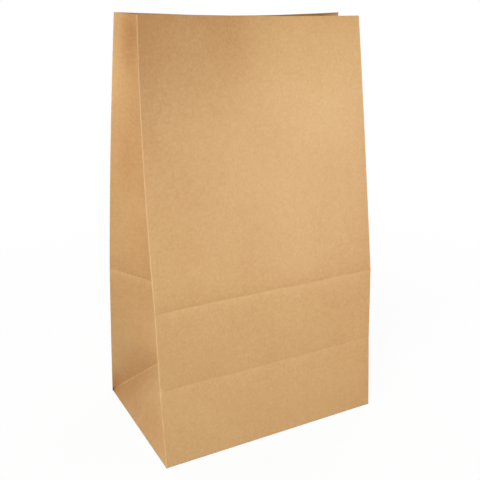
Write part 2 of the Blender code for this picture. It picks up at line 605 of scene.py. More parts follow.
@dataclass(frozen=True)
class Relief:
    """The dents, the pressed creases, the pinched folds and the slow changes of tone of the four walls,
    where light and shade are painted.

    Belly is how much wider the bag is at mid height, as a share. Ridge is how far a pinched fold stands
    out. Settle and foot values say how far from the folds and the base the dents have their whole depth.
    Swell and ripple are the faint waviness all over, and cockle is the glue's along the seam. Worn and
    knuckle values set how wide a fold's worn line is, and slit share how long the painted shadow of a slit
    in
    a base corner is: the smaller the longer. The panels that the photograph doesn't show have a wavering
    tone in place of patches of painted light and shade.
    """

    shape: FoldedShape = FoldedShape()
    belly: float = 0.010
    ridge: float = 0.00010
    ridge_reach: float = 0.0013
    ridge_from: float = 0.010
    ridge_rise: float = 0.020
    wide_settle: float = 0.012
    gusset_settle: float = 0.008
    wide_foot: float = 0.020
    diagonal_ease: float = 0.010
    swell: float = 0.00030
    swell_turns: float = 17.0
    layer_gap: float = 0.4
    ripple: float = 0.00016
    ripple_turns: float = 41.0
    cockle: Waver = Waver(0.00018, 30.0, 120.0, 4.1)
    cockle_reach: float = 0.011
    tone_waver: Waver = Waver(0.16, 9.0, 7.0, 6.5)
    slit_share: float = 0.22
    worn_foot: float = 0.65
    worn_other: float = 0.5
    worn_ease: float = 0.020
    knuckle: float = 1.4
    knuckle_reach: float = 0.005
    front: tuple[Dent, ...] = (
        # a broad hollow under the left of the mouth, a small one at its middle, and a bulge lower down
        Dent(0.40, 0.325, 0.070, 0.070, 0.0022),
        Dent(0.60, 0.375, 0.055, 0.030, 0.0010),
        Dent(0.70, 0.135, 0.070, 0.070, -0.0008),
    )
    back: tuple[Dent, ...] = (
        # guessed, because the photograph doesn't show the back
        Dent(0.35, 0.330, 0.020, 0.050, 0.0010, -6.0),
        Dent(0.72, 0.230, 0.035, 0.060, -0.0009, 10.0),
        Dent(0.25, 0.200, 0.030, 0.045, 0.0006, 20.0),
        Dent(0.50, 0.080, 0.060, 0.022, -0.0005, 0.0),
    )
    left_back_half: tuple[Dent, ...] = (
        # a sharp upright pucker under the mouth, the hollow beside it, and a bulge near the floor
        Dent(0.45, 0.350, 0.006, 0.022, -0.0035),
        Dent(0.55, 0.350, 0.030, 0.020, 0.0014, 30.0),
        Dent(0.45, 0.070, 0.030, 0.040, -0.0008, -30.0),
    )
    front_painted_light_and_shade: tuple[Dent, ...] = (
        # painted shade in the corner at the left of the mouth, and in the streaks beside and under it
        Dent(0.10, 0.370, 0.075, 0.070, 0.40),
        Dent(0.40, 0.365, 0.022, 0.050, 0.22),
        Dent(0.00, 0.360, 0.022, 0.060, 0.24),
        Dent(0.10, 0.260, 0.030, 0.080, 0.09, 20.0),
        # painted light at the upper right, and painted shade along the mouth and the right fold
        Dent(0.80, 0.300, 0.080, 0.045, -0.22),
        Dent(0.60, 0.374, 0.180, 0.010, 0.13),
        Dent(1.00, 0.270, 0.020, 0.040, 0.09),
        Dent(1.00, 0.150, 0.010, 0.150, 0.14),
        # painted shade at the lower right, and painted light at the foot of the left fold
        Dent(0.90, 0.140, 0.035, 0.080, 0.14),
        Dent(1.00, 0.010, 0.035, 0.080, 0.17, -20.0),
        Dent(0.10, 0.010, 0.070, 0.070, -0.10),
    )
    back_half_painted_light_and_shade: tuple[Dent, ...] = (
        # painted shade in two streaks under the mouth, with painted light on the edge beside them
        Dent(0.20, 0.358, 0.008, 0.030, 0.56),
        Dent(0.20, 0.250, 0.008, 0.030, 0.22),
        Dent(0.00, 0.320, 0.008, 0.040, -0.30),
        # painted light in the middle and by the centre fold, and painted shade under the upper crease
        Dent(0.70, 0.200, 0.030, 0.010, -0.20, -25.0),
        Dent(0.30, 0.120, 0.030, 0.060, 0.14, -25.0),
        Dent(0.90, 0.100, 0.012, 0.030, -0.38),
        # the strongest painted shade, towards the floor and in its corners
        Dent(0.40, 0.010, 0.030, 0.060, 0.58, -25.0),
        Dent(0.10, 0.010, 0.014, 0.014, 0.34),
        Dent(0.90, 0.010, 0.014, 0.014, 0.22),
    )
    front_half_painted_light_and_shade: tuple[Dent, ...] = (
        # painted shade by the floor, and painted light above the diagonal's middle
        Dent(0.75, 0.010, 0.040, 0.030, 0.36),
        Dent(0.45, 0.055, 0.022, 0.022, -0.52),
    )
    other_half: tuple[Dent, ...] = (
        # guessed too, for every gusset half but the left back one
        Dent(0.55, 0.305, 0.012, 0.030, 0.0009, 4.0),
        Dent(0.45, 0.240, 0.024, 0.014, -0.0007, -8.0),
        Dent(0.60, 0.190, 0.022, 0.016, 0.0006, 10.0),
    )

    def creases(self, panel: Panel) -> tuple[Emboss, ...]:
        """Lists the pressed creases of a panel.

        Args:
            panel: The panel.

        Returns:
            The creases. A broad one and a narrow one lie on the same line.
        """
        lower, upper = self.shape.half_gusset, self.shape.upper_crease
        if panel is Panel.FRONT:
            return (
                Emboss(upper, 0.00010, 0.0015, 0.0015),
                Emboss(upper, 0.00055, 0.0090, 0.0090, 0.012),
                Emboss(upper, 0.00045, 0.0090, 0.0400, 0.012),
                Emboss(lower, 0.00005, 0.0015, 0.0015, 0.004, 0.6),
                Emboss(lower, 0.00050, 0.0110, 0.0080, 0.012, 0.4),
            )
        if panel in BACK_PANELS:
            return (
                Emboss(upper, 0.00010, 0.0015, 0.0015),
                Emboss(upper, 0.00070, 0.0100, 0.0090, 0.012),
            )
        pressed = (
            Emboss(upper, 0.00008, 0.0015, 0.0015),
            Emboss(upper, 0.00060, 0.0120, 0.0080, 0.010),
        )
        if panel in FRONT_HALVES:
            return (*pressed, Emboss(lower, 0.00022, 0.0018, 0.0018))
        return pressed

    def dents(self, panel: Panel) -> tuple[Dent, ...]:
        """Lists the dents of a panel.

        Args:
            panel: The panel.

        Returns:
            The dents.
        """
        if panel is Panel.FRONT:
            return self.front
        if panel in BACK_PANELS:
            return self.back
        return self.left_back_half if panel is Panel.LEFT_BACK_HALF else self.other_half

    def depth(self, column: Column, up: float) -> float:
        """Works out how far in a point of a wall lies.

        Args:
            column: The upright line.
            up: The paper height.

        Returns:
            The depth, with dents, pressed creases and a faint waviness all over.
        """
        shape = self.shape
        wide = column.panel not in GUSSET_HALVES
        width = shape.width if wide else shape.half_gusset
        fade = settle(column.gap, self.wide_settle if wide else self.gusset_settle)
        if wide:
            fade *= smooth(up / self.wide_foot)
        else:
            fade *= settle(shape.half_gusset - column.aside, self.gusset_settle)
            if up < shape.half_gusset:
                fade *= smooth((up - column.aside) / self.diagonal_ease)
        place = Vector((column.share * width, up, self.layer(column.panel)))
        total = depth_of(self.dents(column.panel), column.share, width, up)
        total += self.swell * noise.noise(place * self.swell_turns)
        total += self.ripple * noise.noise(place * self.ripple_turns)
        if column.panel in BACK_PANELS:
            total += self.glue_cockle(column, up)
        pressed = sum(line.at(column, place, up) for line in self.creases(column.panel))
        if not wide:
            pressed *= smooth((shape.half_gusset - column.aside) / self.gusset_settle)
        ridge = self.ridge * math.exp(-column.gap / self.ridge_reach)
        ridge *= smooth((up - self.ridge_from) / self.ridge_rise)
        return total * fade + pressed - ridge

    def layer(self, panel: Panel) -> float:
        """Says which layer of noise a panel's waviness comes from.

        Args:
            panel: The panel.

        Returns:
            The layer. Both ends of the back share one.
        """
        if panel in GUSSET_HALVES:
            return self.layer_gap * panel.value
        return 1.0 if panel in BACK_PANELS else 0.0

    def widening(self, up: float) -> float:
        """Returns how much wider the bag bulges at a paper height, as a factor."""
        share = min(1.0, up / self.shape.height)
        return 1.0 + self.belly * 4.0 * share * (1.0 - share)

    def wear(self, column: Column, up: float) -> float:
        """Works out how wide the worn line of a fold is.

        Args:
            column: The upright line.
            up: The paper height.

        Returns:
            The width as a factor. The front left fold has the widest line, most of all at the lower crease.
        """
        over = up - self.shape.half_gusset
        plain = blend(self.worn_foot, 1.0, smooth(over / self.worn_ease))
        if column.panel is Panel.FRONT and column.share < 0.5:
            return plain + self.knuckle * math.exp(-((over / self.knuckle_reach) ** 2))
        return plain if column.panel is Panel.LEFT_FRONT_HALF else self.worn_other

    def tone(self, column: Column, up: float) -> float:
        """Works out how deep the paper's colour is, painted light and shade included.

        Args:
            column: The upright line.
            up: The paper height.

        Returns:
            The tone, from about 0 for the palest paper to about 1 for the deepest.
        """
        width = self.shape.half_gusset if column.panel in GUSSET_HALVES else self.shape.width
        # the patches are painted light and shade; the other panels have a wavering tone instead
        patches = {
            Panel.FRONT: self.front_painted_light_and_shade,
            Panel.LEFT_BACK_HALF: self.back_half_painted_light_and_shade,
            Panel.LEFT_FRONT_HALF: self.front_half_painted_light_and_shade,
        }.get(column.panel)
        if patches is None:
            total = self.tone_waver.at(column.at, up)
        else:
            total = depth_of(patches, column.share, width, up)
        total += sum(crease.at(column.share, up) for crease in self.painted_crease_shades(column.panel))
        return MIDDLE_TONE + total

    def painted_crease_shades(self, panel: Panel) -> tuple[PaintedCreaseShade, ...]:
        """Lists the bands of painted light and shade beside a panel's pressed creases.

        Args:
            panel: The panel.

        Returns:
            The bands.
        """
        lower, upper = self.shape.half_gusset, self.shape.upper_crease
        if panel is Panel.FRONT:
            return (
                PaintedCreaseShade(upper, 0.16, 0.008, 0.09, 0.010),
                PaintedCreaseShade(lower, 0.06, 0.009, 0.06, 0.011, 0.4),
            )
        band = PaintedCreaseShade(upper, 0.12, 0.009, 0.16, 0.008)
        if panel in FRONT_HALVES:
            return (band, PaintedCreaseShade(lower, 0.05, 0.006, 0.05, 0.006))
        return (band,)

    def glue_cockle(self, column: Column, up: float) -> float:
        """Returns the small ripples that the glue leaves along the lap seam."""
        aside = (column.share - 0.5) * self.shape.width - self.shape.seam_from_middle
        return self.cockle.at(aside, up) * math.exp(-((aside / self.cockle_reach) ** 2))

    def values(self, column: Column, up: float) -> dict[str, float]:
        """Works out what the finish reads at a point of a wall.

        Args:
            column: The upright line.
            up: The paper height.

        Returns:
            The distances from the folds and creases that the point has, and its tone, by name.
        """
        shape = self.shape
        half = shape.half_gusset
        made = {
            "fold_gap": column.gap / self.wear(column, up),
            "upper_gap": up - shape.upper_crease,
            "base_gap": up,
            "mouth_gap": shape.height - up,
            # the tone carries the painted light and shade
            "tone": self.tone(column, up),
        }
        if column.panel is Panel.FRONT or column.panel in FRONT_HALVES:
            made["lower_gap"] = up - half
        # the painted shade beside the mouth, on the right back half's outer face, reads this distance
        if column.panel is Panel.RIGHT_BACK_HALF:
            made["lip_gap"] = shape.height - up
        if column.panel not in GUSSET_HALVES:
            return made
        if up >= half:
            made["fold_gap"] = min(column.gap, half - column.aside) / self.wear(column, up)
        diagonal = math.hypot(column.aside - min(up, half), max(0.0, up - half)) / math.sqrt(2)
        made["diagonal_gap"] = diagonal
        # the painted shade in the base corners and the painted shadow of the slit read these distances
        if column.panel not in FRONT_HALVES:
            made["corner_gap"] = math.hypot(column.aside, up)
            made["pocket_gap"] = math.hypot(diagonal, self.slit_share * (column.aside + up))
        return made


class SheetMesh:
    """A sheet of paper under construction: its points, its faces and each point's place on the paper."""

    sharp_angle: float = 34.0

    def __init__(self) -> None:
        """Starts an empty sheet."""
        self.points: list[Vector] = []
        self.faces: list[tuple[int, ...]] = []
        self.sharp: set[tuple[int, int]] = set()
        self.defaults: dict[str, float] = {**dict.fromkeys(GAPS, FAR), "tone": MIDDLE_TONE}
        self.values: dict[str, list[float]] = {name: [] for name in self.defaults}
        self.places: list[tuple[float, float]] = []

    def add(self, point: Vector, place: tuple[float, float], **gaps: float) -> int:
        """Adds a point.

        Args:
            point: Where it lies.
            place: Its place across and up the paper.
            **gaps: Its distance from the folds and creases and its tone, by name. A distance that isn't
                given is far, and a tone is middling.

        Returns:
            The point's number.
        """
        self.points.append(point)
        self.places.append(place)
        for name, values in self.values.items():
            values.append(gaps.get(name, self.defaults[name]))
        return len(self.points) - 1

    def stitch(self, first: list[int], second: list[int]) -> None:
        """Makes the faces between a new row of points and the earlier row that it goes on from."""
        for index in range(len(first) - 1):
            self.faces.append((first[index], first[index + 1], second[index + 1], second[index]))

    def finish(
        self, name: str, paper: float, materials: tuple[bpy.types.Material, ...]
    ) -> bpy.types.Object:
        """Makes the sheet into an object, with the paper's thickness towards the inside.

        Args:
            name: The piece's name.
            paper: The paper's thickness.
            materials: The finishes of the paper's outer face, inner face and cut edge.

        Returns:
            The piece.
        """
        mesh = bpy.data.meshes.new(name)
        mesh.from_pydata(self.points, [], self.faces)
        at = mesh.attributes.new("paper_at", "FLOAT_VECTOR", "POINT")
        at.data.foreach_set("vector", [number for x, y in self.places for number in (x, y, 0.0)])
        for label, values in self.values.items():
            mesh.attributes.new(label, "FLOAT", "POINT").data.foreach_set("value", values)
        for edge in mesh.edges:
            if tuple(sorted(edge.vertices)) in self.sharp:
                edge.use_edge_sharp = True
        for material in materials:
            mesh.materials.append(material)
        piece = bpy.data.objects.new(name, mesh)
        bpy.context.scene.collection.objects.link(piece)
        shell = piece.modifiers.new("paper", "SOLIDIFY")
        shell.thickness = paper
        shell.offset = -1.0
        shell.use_even_offset = True
        shell.material_offset = 1
        shell.material_offset_rim = 2
        graph = bpy.context.evaluated_depsgraph_get()
        graph.update()
        solid = bpy.data.meshes.new_from_object(
            piece.evaluated_get(graph), preserve_all_data_layers=True, depsgraph=graph
        )
        piece.modifiers.clear()
        piece.data = solid
        bpy.data.meshes.remove(mesh)
        solid.name = name
        solid.set_sharp_from_angle(angle=math.radians(self.sharp_angle))
        return piece


class Bag:
    """The whole sheet: four walls, the three kinds of base flap and the lap seam."""

    def __init__(self, sheet: FoldedSheet, relief: Relief) -> None:
        """Keeps the sheet's sizes and its relief.

        Args:
            sheet: The sheet's sizes and its rounded folds.
            relief: Its dents and creases.
        """
        self.sheet = sheet
        self.shape = sheet.shape
        self.relief = relief
        self.rows = sheet.rows()
        self.columns = sheet.columns()
        self.mesh = SheetMesh()

    def gusset_lines(self, across: float, inwards: Vector) -> list[Vector]:
        """Works out the middle of a gusset at every row: its centre fold, and under it the base triangle's.

        Args:
            across: 0 for the left gusset, 1 for the right.
            inwards: The direction into the bag.

        Returns:
            One point for each row.
        """
        shape = self.shape
        heights = shape.solid_rows()
        fold = shape.centre_fold(across, inwards)
        lower, upper = heights[1], heights[2]
        made = []
        for up in self.rows:
            if up <= lower:
                made.append(fold[0].lerp(fold[1], up / lower))
            elif up <= upper:
                made.append(fold[1].lerp(fold[2], (up - lower) / (upper - lower)))
            else:
                made.append(curve_through(heights[2:], fold[2:], up))
        return made

    def gusset_column(self, aside: float, edge: list[Vector], centre: list[Vector]) -> list[Vector]:
        """Follows an upright line of a gusset half.

        Args:
            aside: The line's distance from the wide panel's fold.
            edge: The wide panel's fold, by row.
            centre: The gusset's middle, by row.

        Returns:
            One point for each row.
        """
        half = self.shape.half_gusset
        apex = centre[self.rows.index(half)]
        made = []
        for row, up in enumerate(self.rows):
            if up >= half:
                made.append(edge[row].lerp(centre[row], aside / half))
                continue
            diagonal = edge[0].lerp(apex, up / half)
            if aside <= up:
                made.append(edge[row].lerp(diagonal, aside / up if up else 0.0))
            else:
                made.append(diagonal.lerp(centre[row], (aside - up) / (half - up)))
        return made

    def sharp_points(self) -> list[list[Vector]]:
        """Works out every point of the walls as if each fold were a sharp line.

        Returns:
            The points, by column and row.
        """
        shape = self.shape
        left_centre = self.gusset_lines(0.0, Vector((1, 0, 0)))
        right_centre = self.gusset_lines(1.0, Vector((-1, 0, 0)))
        edges = {
            (front, across): shape.climb(plan, across, self.rows)
            for front, plan in ((True, shape.front_plan), (False, shape.back_plan))
            for across in (0.0, 1.0)
        }
        made = []
        for column in self.columns:
            panel = column.panel
            if panel is Panel.FRONT:
                made.append(shape.climb(shape.front_plan, column.share, self.rows))
            elif panel in BACK_PANELS:
                made.append(shape.climb(shape.back_plan, column.share, self.rows))
            else:
                left = panel in (Panel.LEFT_BACK_HALF, Panel.LEFT_FRONT_HALF)
                edge = edges[panel in FRONT_HALVES, 0.0 if left else 1.0]
                made.append(self.gusset_column(column.aside, edge, left_centre if left else right_centre))
        return made

    def pressed_points(self, sharp: list[list[Vector]]) -> list[list[Vector]]:
        """Moves every point in or out by the relief and the lap seam's lift.

        Args:
            sharp: The points of the plain walls, by column and row.

        Returns:
            The moved points.
        """
        last, top = len(sharp) - 1, len(self.rows) - 1
        made = []
        for index, column in enumerate(self.columns):
            before, after = sharp[max(0, index - 1)], sharp[min(last, index + 1)]
            line = []
            for row, up in enumerate(self.rows):
                upright = sharp[index][min(top, row + 1)] - sharp[index][max(0, row - 1)]
                normal = (after[row] - before[row]).cross(upright).normalized()
                depth = self.relief.depth(column, up) - column.lift
                point = sharp[index][row] - normal * depth
                point.x *= self.relief.widening(up)
                line.append(point)
            made.append(line)
        return made

    def round_folds(self, points: list[list[Vector]]) -> None:
        """Rounds the six upright folds, where two columns on each side lie within the radius.

        Args:
            points: The walls' points, by column and row. They are changed.
        """
        for fold in self.fold_columns():
            for row in range(len(self.rows)):
                if self.columns[fold].gap > 0 and self.rows[row] < self.shape.half_gusset:
                    continue
                start, corner, end = (points[fold + step][row].copy() for step in (-2, 0, 2))
                for step in (-1, 0, 1):
                    points[fold + step][row] = arc(start, corner, end, 0.5 + step / 4)

    def fold_columns(self) -> list[int]:
        """Finds the columns that lie on an upright fold.

        Returns:
            Their numbers.
        """
        shape = self.shape
        half = shape.half_gusset
        places = (-shape.depth, -half, 0.0, shape.width, shape.width + half, shape.width + shape.depth)
        return [
            index
            for index, column in enumerate(self.columns)
            if any(abs(column.at - place) < SAME for place in places)
        ]

    def build_walls(self) -> list[list[int]]:
        """Makes the walls' points and faces.

        Returns:
            The points' numbers, by column and row.
        """
        points = self.pressed_points(self.sharp_points())
        self.round_folds(points)
        numbers = []
        for column, line in zip(self.columns, points):
            made = []
            for up, point in zip(self.rows, line):
                made.append(self.mesh.add(point, (column.at, up), **self.relief.values(column, up)))
            numbers.append(made)
        for index in range(len(numbers) - 1):
            self.join(numbers, index)
        return numbers

    def join(self, numbers: list[list[int]], index: int) -> None:
        """Makes the faces between a column and the next, split along the gussets' diagonal folds.

        Args:
            numbers: The points' numbers, by column and row.
            index: The first column.
        """
        left, right = self.columns[index], self.columns[index + 1]
        gusset = left.panel in GUSSET_HALVES or right.panel in GUSSET_HALVES
        near, far = sorted((left.aside, right.aside))
        for row, (low, high) in enumerate(zip(self.rows, self.rows[1:])):
            a, b = numbers[index][row], numbers[index + 1][row]
            c, d = numbers[index + 1][row + 1], numbers[index][row + 1]
            on_diagonal = abs(low - near) < SAME and abs(high - far) < SAME
            if not gusset or not on_diagonal or low >= self.shape.half_gusset:
                self.mesh.faces.append((a, b, c, d))
            elif right.aside > left.aside:
                self.mesh.faces += [(a, b, c), (a, c, d)]
                self.mesh.sharp.add(tuple(sorted((a, c))))
            else:
                self.mesh.faces += [(a, b, d), (b, c, d)]
                self.mesh.sharp.add(tuple(sorted((b, d))))

    def flap_rows(self) -> list[float]:
        """Lays out the rows of a flap.

        Returns:
            Their distances in from the base's edge.
        """
        sheet = self.sheet
        radius = sheet.base_radius
        flap = self.shape.flap
        return [radius / 2, radius] + sheet.spread(sheet.fold_clear, flap, sheet.flap_step) + [flap]

    def build_flap(
        self, numbers: list[list[int]], first: int, last: int, level: float, taper: bool
    ) -> None:
        """Folds a flap in under the base from the walls' lower edge.

        Args:
            numbers: The walls' points, by column and row.
            first: The flap's first column.
            last: Its last column.
            level: The height of the flap's lower face.
            taper: Whether its ends are cut off at 45 degrees.
        """
        shape, sheet = self.shape, self.sheet
        base = [self.mesh.points[numbers[index][0]].copy() for index in range(first, last + 1)]
        middle = (base[0] + base[-1]) / 2
        half = (base[-1] - base[0]).length / 2
        inwards = Vector((-middle.x, -middle.y, 0.0)).normalized()
        previous = [numbers[index][0] for index in range(first, last + 1)]
        for gap in self.flap_rows():
            settled = smooth(gap / sheet.flap_settle)
            inset = gap + shape.setback * settled if taper else shape.side_setback * settled
            scale = (half - inset) / half
            line = []
            for offset, point in enumerate(base):
                aside = (point - middle) * scale
                wave = abs(noise.noise(Vector((aside.x, aside.y, gap)) * sheet.flap_turns))
                wave *= sheet.flap_wave * smooth(gap / sheet.flap_wave_from)
                lower = Vector((middle.x + aside.x, middle.y + aside.y, 0.0)) + inwards * gap
                lower.z = blend(shape.floor, level, settled) + wave
                place = (self.columns[first + offset].at, -gap)
                line.append(self.mesh.add(lower, place, base_gap=gap))
            self.mesh.stitch(line, previous)
            previous = line

    def round_base(self, numbers: list[list[int]], flaps: list[tuple[int, int, int]]) -> None:
        """Rounds the fold between the walls and the flaps.

        Args:
            numbers: The walls' points, by column and row.
            flaps: Each flap's first and last column, and the number of its first point.
        """
        points = self.mesh.points
        for first, last, start in flaps:
            wide = last - first + 1
            for index in range(first, last + 1):
                ends = min(index - first, last - index)
                if not ends:
                    continue
                weight = smooth(ends / self.sheet.corner_columns)
                wall = [numbers[index][row] for row in (2, 1, 0)]
                under = [start + index - first, start + index - first + wide]
                line = [*wall, *under]
                begin, corner, end = (points[line[step]].copy() for step in (0, 2, 4))
                for step in (1, 2, 3):
                    rounded = arc(begin, corner, end, step / 4)
                    points[line[step]] = points[line[step]].lerp(rounded, weight)

    def build(self, materials: tuple[bpy.types.Material, ...]) -> bpy.types.Object:
        """Makes the whole sheet.

        Args:
            materials: The finishes of the paper's outer face, inner face and cut edge.

        Returns:
            The piece.
        """
        numbers = self.build_walls()
        folds = self.fold_columns()
        paper = self.shape.paper
        flaps = []
        for first, end, layer, taper in (
            (folds[2], folds[3], 1, True),
            (folds[0], folds[2], 2, False),
            (folds[3], folds[5], 2, False),
        ):
            flaps.append((first, end, len(self.mesh.points)))
            self.build_flap(numbers, first, end, layer * paper, taper)
        self.round_base(numbers, flaps)
        self.build_outer_flap(numbers, folds[5], len(self.columns) - 1)
        self.build_outer_flap(numbers, 0, folds[0])
        return self.mesh.finish("kraft_sheet", paper, materials)

    def build_outer_flap(self, numbers: list[list[int]], first: int, last: int) -> None:
        """Folds in the part of the back panel's flap that lies to one side of the lap seam.

        It goes under all the other flaps.

        Args:
            numbers: The walls' points, by column and row.
            first: The part's first column.
            last: Its last column.
        """
        shape = self.shape
        half_width, half_depth = shape.width / 2, shape.depth / 2
        previous = [numbers[index][0] for index in range(first, last + 1)]
        for gap in self.flap_rows():
            settled = smooth(gap / self.sheet.flap_settle)
            scale = (half_width - gap - shape.setback * settled) / half_width
            line = []
            for column in self.columns[first : last + 1]:
                x = (column.share - 0.5) * shape.width * scale
                level = blend(shape.floor, 0.0, settled)
                if column.panel is Panel.BACK_START:
                    level += self.cover(column) * shape.paper * settled
                point = Vector((x, half_depth - gap, level))
                line.append(self.mesh.add(point, (column.at, -gap), base_gap=gap))
            self.mesh.stitch(line, previous)
            previous = line

    def cover(self, column: Column) -> float:
        """Says how far a line of the back lies under the lap seam's outer layer.

        Args:
            column: The upright line.

        Returns:
            1 under it and 0 away from it.
        """
        shape = self.shape
        edge = 0.5 + (shape.seam_from_middle - shape.seam_lap / 2) / shape.width
        return smooth((column.share - edge) * shape.width / self.sheet.lap_cover + 1.0)


@dataclass(frozen=True)
class Grain:
    """How often a noise texture turns per metre, across and up the paper, and how rough it is."""

    across: float
    up: float
    detail: float = 2.0
    rough: float = 0.6


class Wiring:
    """A short way to place and join the nodes of one tree."""

    def __init__(self, tree: bpy.types.NodeTree) -> None:
        """Keeps the tree."""
        self.tree = tree

    def node(self, kind: str, **settings: object) -> bpy.types.Node:
        """Places a node.

        Args:
            kind: The node's type.
            **settings: Its properties.

        Returns:
            The node.
        """
        made = self.tree.nodes.new(kind)
        for name, value in settings.items():
            setattr(made, name, value)
        return made

    def feed(self, socket: bpy.types.NodeSocket, value: object) -> None:
        """Joins a socket to another one, or sets it to a value.

        Args:
            socket: The input that is fed.
            value: The output that it is joined to, or its value.
        """
        if isinstance(value, bpy.types.NodeSocket):
            self.tree.links.new(value, socket)
        else:
            socket.default_value = value

    def maths(self, operation: str, *values: object) -> bpy.types.NodeSocket:
        """Does a sum on sockets or numbers.

        Args:
            operation: The Math node's operation.
            *values: Its inputs.

        Returns:
            The result's socket.
        """
        made = self.node("ShaderNodeMath", operation=operation)
        for socket, value in zip(made.inputs, values):
            self.feed(socket, value)
        return made.outputs[0]

    def ramp(
        self, value: object, low: object, high: object, start: float, end: float
    ) -> bpy.types.NodeSocket:
        """Maps a value smoothly from one range to another.

        Args:
            value: The socket to read.
            low: Where the range starts.
            high: Where it ends.
            start: What is put out at low.
            end: What is put out at high.

        Returns:
            The result's socket.
        """
        made = self.node("ShaderNodeMapRange", interpolation_type="SMOOTHSTEP")
        names = ("Value", "From Min", "From Max", "To Min", "To Max")
        for name, number in zip(names, (value, low, high, start, end)):
            self.feed(made.inputs[name], number)
        return made.outputs[0]

    def mix(self, share: object, first: object, second: object, kind: str = "MIX") -> bpy.types.NodeSocket:
        """Mixes two colours.

        Args:
            share: How much of the second.
            first: A colour or a socket.
            second: Another.
            kind: The way of mixing.

        Returns:
            The result's socket.
        """
        made = self.node("ShaderNodeMix", data_type="RGBA", blend_type=kind)
        # its colour sockets share their names with other ones, so they are taken by number
        self.feed(made.inputs[0], share)
        self.feed(made.inputs[6], first)
        self.feed(made.inputs[7], second)
        return made.outputs[2]

    def noise(self, place: object, grain: Grain) -> bpy.types.Node:
        """Places a noise texture.

        Args:
            place: Its coordinates.
            grain: How fine it is.

        Returns:
            The texture's node.
        """
        stretched = self.node("ShaderNodeVectorMath", operation="MULTIPLY")
        self.feed(stretched.inputs[0], place)
        self.feed(stretched.inputs[1], (grain.across, grain.up, 1.0))
        made = self.node("ShaderNodeTexNoise")
        names = ("Vector", "Scale", "Detail", "Roughness")
        for name, number in zip(names, (stretched.outputs[0], 1.0, grain.detail, grain.rough)):
            self.feed(made.inputs[name], number)
        return made

    def group(self, tree: bpy.types.NodeTree, given: dict[str, object]) -> bpy.types.Node:
        """Places a shared group.

        Args:
            tree: The group.
            given: Sockets or values for its inputs, by name.

        Returns:
            The group's node.
        """
        made = self.node("ShaderNodeGroup", node_tree=tree)
        for name, value in given.items():
            self.feed(made.inputs[name], value)
        return made

    def seen_directly(self) -> bpy.types.NodeSocket:
        """Tells the camera's own look from the light that falls on things.

        Returns:
            A socket that is 1 for what the camera sees, also in a glossy face or through glass.
        """
        path = self.node("ShaderNodeLightPath")
        seen = self.maths("MAXIMUM", path.outputs["Is Camera Ray"], path.outputs["Is Glossy Ray"])
        return self.maths("MAXIMUM", seen, path.outputs["Is Transmission Ray"])


def start_group(
    name: str, inputs: tuple[tuple[str, str, object], ...], outputs: tuple[tuple[str, str], ...]
) -> tuple[Wiring, bpy.types.Node, bpy.types.Node]:
    """Starts a node group with named sockets.

    Args:
        name: The group's name.
        inputs: Each input's name, kind and value.
        outputs: Each output's name and kind.

    Returns:
        The group's wiring, its input node and its output node.
    """
    tree = bpy.data.node_groups.new(name, "ShaderNodeTree")
    for label, kind, value in inputs:
        socket = tree.interface.new_socket(label, in_out="INPUT", socket_type=kind)
        if value is not None:
            socket.default_value = value
    for label, kind in outputs:
        tree.interface.new_socket(label, in_out="OUTPUT", socket_type=kind)
    wiring = Wiring(tree)
    return wiring, wiring.node("NodeGroupInput"), wiring.node("NodeGroupOutput")


